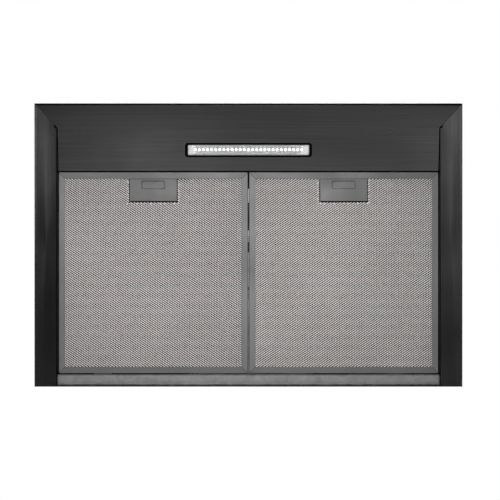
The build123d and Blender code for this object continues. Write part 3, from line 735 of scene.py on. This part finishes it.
# the second row is painted glints: small domes beside the chips that glow as painted reflections of them
for label, aside, lift, radius, glass in (
        ("lampOptics", 0, lamp["opticLift"], lamp["opticRadius"], chipGlow),
        ("lampGlints", -lamp["glintAside"], lamp["opticLift"], lamp["glintRadius"], chipGlint)):
    start = lampFrame @ Vector((firstChip, aside, -lift))
    row = runTree(label, domeRow, {
        "Count": lamp["chips"], "Pitch": lamp["pitch"], "Radius": radius, "Start": start, "Glass": glass})
    smoothByAngle(row, 60)
    dress(row, "hood")


def frostedEnds(work):
    # a frosted block at each end of the cover
    lensLow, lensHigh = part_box("led_lens")
    half = (lensHigh.x - lensLow.x) / 2 - lamp["frostInset"]
    halfWidth = lamp["frostWidth"] / 2
    top = lamp["frostThickness"] - lamp["frostDepth"]
    for way in (-1, 1):
        first, last = sorted((way * half, way * (half - lamp["frostLength"])))
        blockInto(work, (first, -halfWidth, -lamp["frostDepth"]), (last, halfWidth, top))
    bmesh.ops.transform(work, matrix=lampFrame, verts=work.verts)
    bmesh.ops.bevel(work, geom=work.edges[:], offset=lamp["frostEdge"], segments=2, affect="EDGES")


# the frosted ends glow with painted light
ends = addObject("lampFrostedEnds", meshFrom("lampFrostedEnds", frostedEnds))
dress(ends, "hood", frostPaintedGlow)


# camera and light

cameraPlace = {"x": 0.0027, "y": 0.0089, "belowRim": 3.321, "lens": 135, "farthest": 60}

camera = bpy.data.cameras.new("camera")
camera.lens = cameraPlace["lens"]
camera.clip_end = cameraPlace["farthest"]
cameraObject = addObject("camera", camera)
# straight up, with the hood's front edge at the top of the picture
lookUp = Matrix(((1, 0, 0), (0, -1, 0), (0, 0, -1))).to_4x4()
rimHeight = cadBox[0][2]
spot = (cameraPlace["x"], cameraPlace["y"], rimHeight - cameraPlace["belowRim"])
cameraObject.matrix_world = Matrix.Translation(spot) @ lookUp
bpy.context.scene.camera = cameraObject


def softbox(name, place, width, height, power, beam):
    # a rectangular light that faces the hood and that no camera sees
    light = bpy.data.lights.new(name, "AREA")
    light.spread = math.radians(beam)
    light.shape = "RECTANGLE"
    light.size = width
    light.size_y = height
    light.energy = power
    thing = addObject(name, light)
    thing.location = place
    thing.rotation_mode = "QUATERNION"
    thing.rotation_quaternion = (-Vector(place)).to_track_quat("-Z", "Y")
    thing.visible_camera = False


# small softboxes at the camera's height: two light the filters, two the rails, three the sloped panel
underLights = {
    "height": -3.2,
    "size": 0.4,
    "boxes": (
        ("filterLeftBox", -0.15, -0.35, 5.5), ("filterRightBox", 0.15, -0.35, 5.5),
        ("rightRailBox", -1.1, -0.35, 2.4), ("rearLeftBox", -1.1, 1.5, 2.3),
        ("panelLeftBox", -0.35, 1.1, 1.9), ("panelMiddleBox", 0.2, 1.1, 0.8),
        ("panelRightBox", 0.75, 1.1, 2.1)),
}
# narrow-beamed boxes for the outside and the inside, so that little of their light reaches the floor:
# name, place, width, height, power, beam
outerLights = (
    ("overhead", (0.6, -1.4, 3.2), 2.6, 2.0, 20, 45),
    ("backFill", (-1.4, 3.0, 1.8), 2.0, 2.0, 6, 45),
    ("frontSoft", (-1.3, -3.3, 0.75), 2.6, 1.5, 14, 45),
    ("rightSoft", (3.3, 0.3, 0.8), 2.0, 1.5, 10, 45),
    ("leftSoft", (-3.1, 0.6, 0.9), 2.0, 1.5, 8, 45),
    ("underFillRight", (2.8, -2.6, -2.0), 1.6, 1.6, 2.6, 35),
    ("underFillLeft", (-2.8, -2.6, -2.0), 1.6, 1.6, 2.2, 35),
)
print("lights")
for name, x, y, power in underLights["boxes"]:
    softbox(name, (x, y, underLights["height"]), underLights["size"], underLights["size"], power, 180)
for light in outerLights:
    softbox(*light)

# the world is white where the camera sees it and gives the object only a faint even light
backdrop = {"glow": 0.035, "seen": 1.0, "floorHeight": -4.3, "floorHalf": 30.0}

world = bpy.data.worlds.new("studio")
bpy.context.scene.world = world
world.use_nodes = True
back = world.node_tree.nodes["Background"]
path = world.node_tree.nodes.new("ShaderNodeLightPath")
strength = world.node_tree.nodes.new("ShaderNodeMapRange")
strength.inputs["To Min"].default_value = backdrop["glow"]
strength.inputs["To Max"].default_value = backdrop["seen"]
world.node_tree.links.new(path.outputs["Is Camera Ray"], strength.inputs["Value"])
world.node_tree.links.new(strength.outputs["Result"], back.inputs["Strength"])
back.inputs["Color"].default_value = (1.0, 1.0, 1.0, 1.0)

floorPaint, floorTree, floorShader = startMaterial("paleFloor")
floorNoise = noise(floorTree, placedPattern(floorTree), 2.0, 3.0)
floorShade = mixColor(floorTree, floorNoise, grey(0.78), grey(0.82))
floorTree.links.new(floorShade, floorShader.inputs["Base Color"])
floorShader.inputs["Roughness"].default_value = 0.9
half, height = backdrop["floorHalf"], backdrop["floorHeight"]
floorMesh = meshFrom("floor", lambda work: ringFace(work, [
    (-half, -half, height), (half, -half, height), (half, half, height), (-half, half, height)]))
floor = addObject("floor", floorMesh)
floorMesh.materials.append(floorPaint)

bpy.context.scene.view_settings.view_transform = "Standard"
